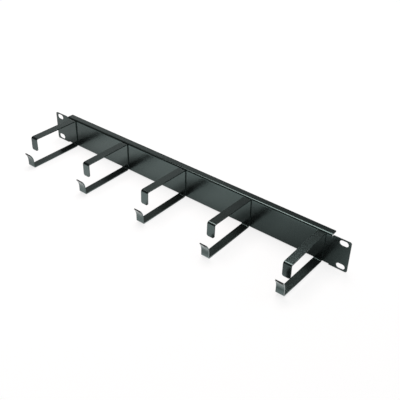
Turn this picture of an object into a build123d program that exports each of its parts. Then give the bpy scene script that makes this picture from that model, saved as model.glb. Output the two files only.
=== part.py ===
"""A 1U horizontal cable manager for a 19 inch rack: a folded steel panel with five bent strip brackets.

The front view is the XZ plane, with +Z up. The brackets reach forward, towards -Y. The origin is the
middle of the pattern of four slots, on the rear face of the ears, which is the face that lies against
the rack's rails.
"""

import os
from math import radians, sin

from build123d import *

# Panel, all in millimetres
PANEL_WIDTH = 482.6  # across both ears
EAR_HEIGHT = 41.9
SHEET = 1.2  # thickness of the sheet
CHANNEL_LENGTH = 434.0  # length of the two folded flanges, which go between the rack's rails
CHANNEL_HEIGHT = 41.8  # over both flanges
FLANGE_DEPTH = 10.0  # from the front face to the flange's rear edge
FOLD_INSIDE_RADIUS = 1.2
FLANGE_CORNER_RADIUS = 1.2
EAR_OUTER_RADIUS = 2.2
EAR_INNER_RADIUS = 1.2
RELIEF_WIDTH = 0.8  # cut between each flange's end and the ear, so that the fold doesn't tear

# Mounting slots
SLOT_SPACING_X = 465.1
SLOT_SPACING_Z = 31.75
SLOT_WIDTH = 7.2
SLOT_LENGTH = 11.2

# Brackets, each bent from one flat strip
BRACKET_COUNT = 5
BRACKET_PITCH = 102.2
STRIP_WIDTH = 10.6
STRIP = 1.5  # thickness of the strip
BRACKET_HEIGHT = 40.9  # over both arms
TOP_ARM_DEPTH = 72.2  # from the panel's front face to the outside of the lip
BOTTOM_ARM_DEPTH = 81.6
BEND_INSIDE_RADIUS = 1.5
TOP_LIP_DROP = 19.1
BOTTOM_LIP_RISE = 20.6
LIP_CURL_RADIUS = 17.5  # front face of the bottom lip, which curls forward to guide cables in
LIP_CURL_ANGLE = 41.0
TOP_LIP_CORNER_RADIUS = 2.5
BOTTOM_LIP_CORNER_RADIUS = 0.8

# How far each arm hangs below level, in degrees, as the hand-set bends leave it, from left to right
TOP_ARM_DROOP = (-0.2, 0.2, -1.1, -1.4, 1.9)
BOTTOM_ARM_DROOP = (0.3, 0.3, 0.0, 0.8, -0.7)

# Spot welds: two shallow marks of the electrode behind each bracket
WELD_MARK_RADIUS = 2.5
WELD_MARK_DEPTH = 0.2
WELD_SPACING = 18.0

# Worked out from the dimensions above
front_face = -SHEET
fold_outside_radius = FOLD_INSIDE_RADIUS + SHEET
fold_line = CHANNEL_HEIGHT / 2 - fold_outside_radius
flange_rear = front_face + FLANGE_DEPTH
ear_inner_edge = CHANNEL_LENGTH / 2 + RELIEF_WIDTH
bend_outside_radius = BEND_INSIDE_RADIUS + STRIP
lip_curl_rise = LIP_CURL_RADIUS * sin(radians(LIP_CURL_ANGLE))


def bracket_x(index):
    """X of the middle of a bracket, counted from the left."""
    return (index - (BRACKET_COUNT - 1) / 2) * BRACKET_PITCH


def onward(start, heading, distance):
    """The point a distance from start along a heading, in degrees from the sketch's first axis."""
    return start + Vector(distance, 0).rotate(Axis.Z, heading)


os.makedirs("parts", exist_ok=True)

# Panel: a flat front with an ear at each end, and a flange folded back along the top and the bottom
with BuildPart() as panel:
    # Flat blank of the front, seen from the front; its rear face lies in the XZ plane
    with BuildSketch(Plane.XZ) as blank:
        Rectangle(PANEL_WIDTH, EAR_HEIGHT)
        fillet(blank.vertices(), radius=EAR_OUTER_RADIUS)
        # Between the ears the blank is flat only up to the two fold lines
        for direction in (1, -1):
            with Locations((0, direction * fold_line)):
                Rectangle(
                    2 * ear_inner_edge,
                    EAR_HEIGHT,
                    align=(Align.CENTER, Align.MIN if direction > 0 else Align.MAX),
                    mode=Mode.SUBTRACT,
                )
        inner_corners = blank.vertices().filter_by(
            lambda corner: abs(abs(corner.X) - ear_inner_edge) < 0.01
            and abs(abs(corner.Y) - EAR_HEIGHT / 2) < 0.01
        )
        fillet(inner_corners, radius=EAR_INNER_RADIUS)
        with GridLocations(SLOT_SPACING_X, SLOT_SPACING_Z, 2, 2):
            SlotOverall(SLOT_LENGTH, SLOT_WIDTH, mode=Mode.SUBTRACT)
    extrude(amount=SHEET)

    # Channel section: front web and both flanges, drawn along the outside of the sheet
    with BuildSketch(Plane.YZ) as channel:
        with BuildLine():
            outside = FilletPolyline(
                (flange_rear, CHANNEL_HEIGHT / 2),
                (front_face, CHANNEL_HEIGHT / 2),
                (front_face, -CHANNEL_HEIGHT / 2),
                (flange_rear, -CHANNEL_HEIGHT / 2),
                radius=fold_outside_radius,
            )
            offset(outside, amount=SHEET, side=Side.LEFT)
        make_face()
    extrude(amount=CHANNEL_LENGTH / 2, both=True)

    # Rear corners of both flanges are rounded
    flange_corners = (
        panel.edges()
        .filter_by(Axis.Z)
        .filter_by(lambda edge: abs(edge.center().Y - flange_rear) < 0.01)
    )
    fillet(flange_corners, radius=FLANGE_CORNER_RADIUS)

    # Electrode marks behind each bracket
    with Locations(*[(bracket_x(index), 0, 0) for index in range(BRACKET_COUNT)]):
        with Locations((0, 0, WELD_SPACING / 2), (0, 0, -WELD_SPACING / 2)):
            Cylinder(
                WELD_MARK_RADIUS,
                WELD_MARK_DEPTH,
                rotation=(90, 0, 0),
                align=(Align.CENTER, Align.CENTER, Align.MIN),
                mode=Mode.SUBTRACT,
            )

panel.part.label = "panel"
export_step(panel.part, "parts/panel.step")

# Brackets: flat against the front, an arm forward at the top and the bottom, and a lip on each arm
for index in range(BRACKET_COUNT):
    with BuildPart() as bracket:
        with BuildSketch(Plane.YZ.offset(bracket_x(index))) as strip_section:
            with BuildLine():
                # Corners of the strip's outer face, as if the bends were sharp
                top_heading = 180 + TOP_ARM_DROOP[index]
                top_root = Vector(front_face, BRACKET_HEIGHT / 2)
                top_front = onward(top_root, top_heading, TOP_ARM_DEPTH)
                top_end = onward(top_front, top_heading + 90, TOP_LIP_DROP)
                bottom_heading = 180 + BOTTOM_ARM_DROOP[index]
                bottom_root = Vector(front_face, -BRACKET_HEIGHT / 2)
                bottom_front = onward(bottom_root, bottom_heading, BOTTOM_ARM_DEPTH)
                curl_start = onward(bottom_front, bottom_heading - 90, BOTTOM_LIP_RISE - lip_curl_rise)
                bends = FilletPolyline(
                    top_end,
                    top_front,
                    top_root,
                    bottom_root,
                    bottom_front,
                    curl_start,
                    radius=bend_outside_radius,
                )
                JernArc(start=bends @ 1, tangent=bends % 1, radius=LIP_CURL_RADIUS, arc_size=LIP_CURL_ANGLE)
                offset(amount=STRIP, side=Side.RIGHT)
            make_face()
        extrude(amount=STRIP_WIDTH / 2, both=True)

        # The four edges across the strip's thickness at its ends, the bottom lip's first
        end_corners = bracket.edges().filter_by(lambda edge: abs(edge.length - STRIP) < 0.01).sort_by(Axis.Y)
        fillet(end_corners[:2], radius=BOTTOM_LIP_CORNER_RADIUS)
        fillet(end_corners[-2:], radius=TOP_LIP_CORNER_RADIUS)

    bracket.part.label = f"bracket_{index + 1}"
    export_step(bracket.part, f"parts/{bracket.part.label}.step")
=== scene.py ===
# %% [markdown]
# # A horizontal cable manager for a server rack
# A folded steel panel, one rack unit high, carries five strip brackets that hold the patch cables.
# All of it is sprayed with one coat of black powder paint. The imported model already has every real
# shape and size, so this lesson is about its finish: soft painted edges, the paint itself, and light
# that lets black metal show its form.

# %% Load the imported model
from math import pi, radians

import bpy
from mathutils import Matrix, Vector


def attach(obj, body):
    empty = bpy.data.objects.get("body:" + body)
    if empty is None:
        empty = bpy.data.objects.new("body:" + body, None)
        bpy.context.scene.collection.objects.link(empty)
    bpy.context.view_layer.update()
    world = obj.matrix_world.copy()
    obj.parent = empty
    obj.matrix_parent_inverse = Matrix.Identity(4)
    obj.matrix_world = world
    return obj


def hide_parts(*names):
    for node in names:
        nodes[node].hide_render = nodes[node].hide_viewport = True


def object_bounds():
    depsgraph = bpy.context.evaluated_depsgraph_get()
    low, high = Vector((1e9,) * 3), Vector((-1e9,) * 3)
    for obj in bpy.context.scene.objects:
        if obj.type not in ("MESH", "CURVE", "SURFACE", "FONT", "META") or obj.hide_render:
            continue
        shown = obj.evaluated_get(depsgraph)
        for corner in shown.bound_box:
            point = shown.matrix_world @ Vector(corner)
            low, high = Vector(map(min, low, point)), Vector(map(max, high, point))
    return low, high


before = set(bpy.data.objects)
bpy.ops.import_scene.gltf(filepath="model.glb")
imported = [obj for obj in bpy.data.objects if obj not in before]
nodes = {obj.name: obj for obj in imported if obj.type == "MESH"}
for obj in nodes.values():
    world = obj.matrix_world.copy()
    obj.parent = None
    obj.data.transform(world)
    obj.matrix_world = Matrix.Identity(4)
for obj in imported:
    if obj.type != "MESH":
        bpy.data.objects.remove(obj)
bpy.context.view_layer.update()
cad_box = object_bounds()
print("nodes", sorted(nodes))
print("box in mm", [[round(value * 1000, 2) for value in corner] for corner in cad_box])

# %% [markdown]
# ## Edges under paint
# The sheet and the strips are cut from flat steel, deburred and then painted, so no edge is sharp: each
# has a radius of about a quarter of a millimetre, and that thin curve catches the light. A Bevel modifier
# could do it, but the weld marks behind the panel are too shallow for that radius, so the edges are picked
# by place and bevelled in edit mode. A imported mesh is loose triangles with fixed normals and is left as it
# is: a copy is merged and rounded, and then stands for its node. All lengths are in metres.

# %% Pick the edges and round them
PAINTED_EDGE = 0.00025
MARK_EDGE = 0.00006
MARK_DEPTH = 0.0002
MARK_REACH = 0.012  # the marks lie within this height above and below the panel's middle
LEEWAY = 0.00001
SHARP = radians(35)


def on_weld_mark(mesh, edge):
    """Whether an edge is a rim or a foot of a mark: they lie in the middle of the rear face."""
    ends = [mesh.vertices[index].co for index in edge.vertices]
    return all(-MARK_DEPTH - LEEWAY < end.y < LEEWAY and abs(end.z) < MARK_REACH for end in ends)


def round_edges(mesh, width, segments, on_marks):
    """Bevels the sharp edges on the weld marks, or all the others, and returns how many there were."""
    bpy.ops.object.mode_set(mode="EDIT")
    bpy.ops.mesh.select_mode(type="EDGE")
    bpy.ops.mesh.select_all(action="DESELECT")
    bpy.ops.mesh.edges_select_sharp(sharpness=SHARP)
    bpy.ops.object.mode_set(mode="OBJECT")
    for edge in mesh.edges:
        edge.select = edge.select and on_weld_mark(mesh, edge) == on_marks
    count = sum(edge.select for edge in mesh.edges)
    bpy.ops.object.mode_set(mode="EDIT")
    if count:
        bpy.ops.mesh.bevel(offset=width, segments=segments, affect="EDGES", clamp_overlap=True)
    bpy.ops.object.mode_set(mode="OBJECT")
    return count


print("painted edges", PAINTED_EDGE * 1000, "mm, edges of the marks", MARK_EDGE * 1000, "mm")

# %% Merge a copy of each node, round it and let it stand for the node
MERGE_DISTANCE = 0.000002
FLAT_WITHIN = radians(0.5)
SMOOTH_BELOW = radians(40)


def merged_copy(name, node):
    """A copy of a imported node, with its triangles merged to whole faces."""
    piece = bpy.data.objects.new(name + "_painted", node.data.copy())
    bpy.context.scene.collection.objects.link(piece)
    bpy.ops.object.select_all(action="DESELECT")
    piece.select_set(True)
    bpy.context.view_layer.objects.active = piece
    bpy.ops.mesh.customdata_custom_splitnormals_clear()
    bpy.ops.object.mode_set(mode="EDIT")
    bpy.ops.mesh.select_mode(type="EDGE")
    bpy.ops.mesh.select_all(action="SELECT")
    bpy.ops.mesh.remove_doubles(threshold=MERGE_DISTANCE)
    bpy.ops.mesh.dissolve_limited(angle_limit=FLAT_WITHIN)
    bpy.ops.object.mode_set(mode="OBJECT")
    return piece


pieces = []
for name, node in nodes.items():
    piece = merged_copy(name, node)
    mesh = piece.data
    outer = round_edges(mesh, PAINTED_EDGE, segments=3, on_marks=False)
    marked = round_edges(mesh, MARK_EDGE, segments=1, on_marks=True)
    bpy.ops.object.shade_smooth_by_angle(angle=SMOOTH_BELOW)
    bpy.ops.object.modifier_add(type="WEIGHTED_NORMAL")
    piece.modifiers[-1].keep_sharp = True
    bpy.ops.object.modifier_apply(modifier=piece.modifiers[-1].name)
    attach(piece, "root")
    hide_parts(name)
    pieces.append(piece)
    print(piece.name, outer, "outer edges,", marked, "on marks,", len(mesh.polygons), "faces")

# %% [markdown]
# ## A small language for materials
# A material is a network of nodes, and wiring it by hand takes many lines. Here one class wraps a
# socket, so that sums and products of sockets can be written as plain expressions. Each operator adds
# one Math node. All other nodes come from one method, which takes the type, the settings and the inputs.


# %% Wrap a socket so that it can be used in an expression
class Signal:
    """The output of a node, for use in an expression."""

    def __init__(self, socket):
        self.socket = socket

    def math(self, operation, *values):
        tree = self.socket.id_data
        node = tree.nodes.new("ShaderNodeMath")
        node.operation = operation
        for slot, value in zip(node.inputs, values):
            if isinstance(value, Signal):
                tree.links.new(value.socket, slot)
            else:
                slot.default_value = value
        return Signal(node.outputs[0])

    def __add__(self, other):
        return self.math("ADD", self, other)

    def __sub__(self, other):
        return self.math("SUBTRACT", self, other)

    def __mul__(self, other):
        return self.math("MULTIPLY", self, other)

    def __rsub__(self, other):
        return self.math("SUBTRACT", other, self)

    __radd__ = __add__
    __rmul__ = __mul__

    def wrapped(self, period):
        """How far it is past the nearest of a row of places a period apart; below 0 on the near side."""
        return self.math("WRAP", self, period / 2, -period / 2)


# %% Add any other node
class Network:
    """The node tree of a material or the world, emptied first."""

    def __init__(self, owner):
        owner.use_nodes = True
        self.tree = owner.node_tree
        self.tree.nodes.clear()

    def node(self, kind, inputs=None, output=0, **settings):
        """Adds a node with its settings, links or sets its inputs, and gives one of its outputs."""
        made = self.tree.nodes.new(kind)
        for name, value in settings.items():
            setattr(made, name, value)
        for name, value in (inputs or {}).items():
            if isinstance(value, Signal):
                self.tree.links.new(value.socket, made.inputs[name])
            else:
                made.inputs[name].default_value = value
        if made.outputs:
            return Signal(made.outputs[output])

    def parts(self, vector):
        """The three numbers of a vector."""
        split = self.tree.nodes.new("ShaderNodeSeparateXYZ")
        self.tree.links.new(vector.socket, split.inputs[0])
        return [Signal(socket) for socket in split.outputs]

    def fade(self, value, start, end, low, high):
        """A soft step: low where the value is at the start or before it, and high from the end on."""
        stops = {"From Min": start, "From Max": end, "To Min": low, "To Max": high}
        return self.node("ShaderNodeMapRange", {"Value": value, **stops}, interpolation_type="SMOOTHSTEP")

    def colour_mix(self, factor, low, high):
        """Between two colours, as a colour: a Math node would turn it grey."""
        # A Mix node has sockets for each kind of value; these numbers are those for colours
        return self.node("ShaderNodeMix", {0: factor, 6: low, 7: high}, output=2, data_type="RGBA")


WHITE = (1, 1, 1, 1)
BLACK = (0, 0, 0, 1)

# %% [markdown]
# ## Black powder coat
# Powder paint is sprayed on dry and melts in an oven. It keeps a faint orange peel a millimetre or two
# across, with a much finer grain on top, and it is a little uneven in gloss. Nearly all that the eye sees
# of black paint is what its gloss mirrors, so the roughness and the bump matter far more than the colour.

# %% Make the paint
paint = bpy.data.materials.new("black_powder_paint")
net = Network(paint)
place = net.node("ShaderNodeTexCoord", output="Object")


def noise(scale, detail):
    """Noise fixed to the piece; a scale of 1000 gives spots about a millimetre across."""
    return net.node("ShaderNodeTexNoise", {"Vector": place, "Scale": scale, "Detail": detail})


peel = noise(scale=650, detail=2)
grain = noise(scale=3200, detail=3)
cloud = noise(scale=38, detail=4)
DARKER = (0.0062, 0.008, 0.0076, 1)
LIGHTER = (0.0095, 0.0122, 0.0116, 1)
BUMP_HEIGHT = 0.00008
relief = peel * 0.7 + grain * 0.3
bump = net.node("ShaderNodeBump", {"Strength": 0.7, "Distance": BUMP_HEIGHT, "Height": relief})
coat = {
    "Base Color": net.colour_mix(cloud * 0.6 + grain * 0.4, DARKER, LIGHTER),
    "Roughness": cloud * 0.06 + 0.17,
    "Normal": bump,
    "IOR": 1.7,
    "Specular Tint": (0.71, 1.0, 0.96, 1),
}
net.node("ShaderNodeOutputMaterial", {"Surface": net.node("ShaderNodeBsdfPrincipled", coat)})
print("paint nodes", len(net.tree.nodes))

# %% Paint every piece
for piece in pieces:
    piece.data.materials.clear()
    piece.data.materials.append(paint)
print("painted", len(pieces), "pieces")

# %% [markdown]
# ## The floor
# The product stands on white paper that runs on out of sight. A plain white plane would need so much
# light to look clean that the metal would be lit too much. So most of the paper that the camera sees is
# a glow, which casts no light on the object, and the rest is matt and takes the soft shadow. Further
# out the glow takes over, so that no horizon shows.

# %% Lay the floor
FLOOR_SIZE = 30
floor_height = cad_box[0].z
bpy.ops.object.select_all(action="DESELECT")
bpy.ops.mesh.primitive_plane_add(size=FLOOR_SIZE, location=(0, 0, floor_height))
floor = bpy.context.object
floor.name = "floor"
bpy.ops.object.transform_apply(location=True)
paper = bpy.data.materials.new("white_paper")
floor.data.materials.append(paper)
net = Network(paper)
along, across, _ = net.parts(net.node("ShaderNodeTexCoord", output="Object"))
rays = net.tree.nodes.new("ShaderNodeLightPath")
seen = Signal(rays.outputs["Is Camera Ray"])
mirrored = Signal(rays.outputs["Is Glossy Ray"]) + Signal(rays.outputs["Is Transmission Ray"])
print("floor at", round(floor_height * 1000, 2), "mm")

# %% [markdown]
# ## What the paint mirrors of the paper
# Black gloss shows the paper again, in every upright face. In the photograph that reflection is light at
# the left and darker to the right, and it is lightest under the curled lips. Beside each bracket, on its
# left and close to the panel, the paper lies in the soft shade of the two arms, which the panel shows as a
# dark band. Here both are painted into the paper as only reflections see it: painted light that grades it
# by place, and a painted shade beside each bracket. Each of these is one soft step along the object or
# across it, and the painted shade repeats with the brackets, because the place along the panel is wrapped
# at their spacing.

# %% Grade the painted light in the reflection of the paper
LEAN = 0.3  # how far the line between light and dark leans out of square to the panel
LIP_LEAN = 0.06
# Painted light: how bright the paper is in reflections, graded by place, lighter at the left and under the
# lips and darker to the right
towards_right = net.fade(across * LEAN + along, start=-0.033, end=0.227, low=1.36, high=0.44)
left_end = net.fade(along, start=-0.28, end=-0.13, low=0.6, high=1.0)
right_end = net.fade(along, start=0.205, end=0.24, low=1.0, high=2.0)
in_front = net.fade(across, start=-0.12, end=-0.07, low=1.12, high=1.0)
lip_strip = net.fade(along * LIP_LEAN + across, start=-0.0845, end=-0.0785, low=0.0, high=1.0)
lip_strip = lip_strip * net.fade(across, start=-0.065, end=-0.055, low=1.0, high=0.0)
under_lips = lip_strip * net.fade(along, start=0.02, end=0.22, low=0.1, high=1.8) + 1
painted_light = towards_right * left_end * right_end * in_front * under_lips
print("nodes for the light paper", len(net.tree.nodes))

# %% Paint a shade beside each bracket
BRACKET_SPACING = 0.1022
beside = along.wrapped(BRACKET_SPACING)
# Painted shade: the paper in reflections is darkened on the left of each bracket, close to the panel, where
# the arms' soft shadow falls
shade = net.fade(beside, start=-0.032, end=-0.012, low=0.0, high=1.0)
shade = shade * net.fade(beside, start=0.0, end=0.006, low=1.0, high=0.0)
shade = shade * net.fade(across, start=-0.06, end=-0.025, low=0.0, high=0.72)
shade = shade * net.fade(across, start=-0.022, end=-0.008, low=1.0, high=0.78)
level = painted_light * (1 - shade)
print("nodes with the shade", len(net.tree.nodes))

# %% Mix the matt paper and the glow
MATT_SHARE = 0.2  # of the paper that the camera sees
MATT_WHITENESS = 0.85  # of the matt paper in a reflection, where the level is 1
BRIGHTEST = 3.0  # the glow's colour runs from black to this level
far_off = net.fade(along * along + across * across, start=0.25, end=1.5, low=0.0, high=MATT_SHARE)
free_of_shade = net.fade(across, start=-0.065, end=-0.045, low=1.0, high=0.3)
# In reflections the matt paper's colour and the glow both carry the painted light and the painted shade of
# the level
tone = net.colour_mix(mirrored * (1 - level * MATT_WHITENESS), WHITE, BLACK)
matt = net.node("ShaderNodeBsdfDiffuse", {"Color": tone})
brightness = (mirrored * level + seen) * (1 / BRIGHTEST)
glow_colour = net.colour_mix(brightness, BLACK, (BRIGHTEST, BRIGHTEST, BRIGHTEST, 1))
glow = net.node("ShaderNodeEmission", {"Color": glow_colour, "Strength": 1.0})
glow_share = seen * (far_off + (1 - MATT_SHARE)) + mirrored * free_of_shade
surface = net.node("ShaderNodeMixShader", {0: glow_share, 1: matt, 2: glow})
net.node("ShaderNodeOutputMaterial", {"Surface": surface})
print("paper nodes", len(net.tree.nodes))

# %% [markdown]
# ## The studio
# A black gloss surface is a picture of its room, so the room is built for it. It is dark in front, where
# the camera stands. The wall behind, which the arms' tops mirror, is pale at the foot and darker above,
# and lighter at the left. The right wall and the ceiling give the fill. The camera itself sees plain
# white. One wide softbox nearly overhead, to the left, draws the light line along the fold and throws the
# soft shadow to the lower right. It is slightly warm, so that the line comes out less green than the paint.
# A small one behind it gives the right-hand bracket its sheen.

# %% Paint the room
world = bpy.data.worlds.new("studio_room")
bpy.context.scene.world = world
net = Network(world)
rays = net.tree.nodes.new("ShaderNodeLightPath")
seen = Signal(rays.outputs["Is Camera Ray"])
# In a world, Generated is the direction that is looked in, so each part of it runs from -1 to 1
right, rear, up = net.parts(net.node("ShaderNodeTexCoord", output="Generated"))
rear_wall = net.fade(rear, start=-0.3, end=0.2, low=0.02, high=1.0)
rear_wall = rear_wall * net.fade(right, start=-0.54, end=-0.42, low=1.2, high=0.35)
rear_wall = rear_wall * net.fade(up, start=0.1, end=0.4, low=1.0, high=0.34)
rear_wall = rear_wall * net.fade(up, start=0.5, end=0.6, low=1.1, high=0.24)
right_wall = net.fade(right, start=0.0, end=0.3, low=0.0, high=0.8)
ceiling = net.fade(up, start=0.9, end=0.97, low=0.0, high=1.2)
room = rear_wall + right_wall + ceiling
background = net.node("ShaderNodeBackground", {"Color": WHITE, "Strength": (1 - seen) * room + seen})
net.node("ShaderNodeOutputWorld", {"Surface": background})
print("room nodes", len(net.tree.nodes))


# %% Hang the lamps
def softbox(name, place, length, width, radiance, colour):
    """A flat rectangular lamp that faces straight down."""
    bpy.ops.object.light_add(type="AREA", location=place)
    lamp = bpy.context.object
    lamp.name = name
    lamp.data.shape = "RECTANGLE"
    lamp.data.size = length
    lamp.data.size_y = width
    lamp.data.color = colour
    # An area lamp's power is its radiance times pi times its area
    lamp.data.energy = radiance * pi * length * width
    print(name, round(lamp.data.energy, 2), "W")


WARM = (1.0, 0.9, 0.89)
NEUTRAL = (1.0, 1.0, 1.0)
softbox("overhead_softbox", (-0.4, 0.225, 1.3), length=0.72, width=0.95, radiance=6.3, colour=WARM)
softbox("rear_softbox", (-0.22, 0.84, 1.3), length=0.36, width=0.26, radiance=10, colour=NEUTRAL)

# %% [markdown]
# ## The camera
# The photographer stood in front of the right-hand end, at about twice the product's own length, and
# looked down at it. The place and the lens were worked out from the outline in the photograph.

# %% Set the camera
SENSOR_WIDTH = 36  # mm
PICTURE_WIDTH = 400  # pixels
FOCAL_LENGTH = 667.3363  # pixels
bpy.ops.object.camera_add(
    location=(0.465870, -0.561441, 0.464443),
    rotation=(radians(55.96236), radians(-1.31055), radians(38.80364)),
)
camera = bpy.context.object
camera.data.sensor_width = SENSOR_WIDTH
camera.data.lens = FOCAL_LENGTH / PICTURE_WIDTH * SENSOR_WIDTH
camera.data.clip_start = 0.05
bpy.context.scene.camera = camera
bpy.context.scene.view_settings.view_transform = "Standard"
print("lens", round(camera.data.lens, 2), "mm")

# %% Update the scene
bpy.context.view_layer.update()
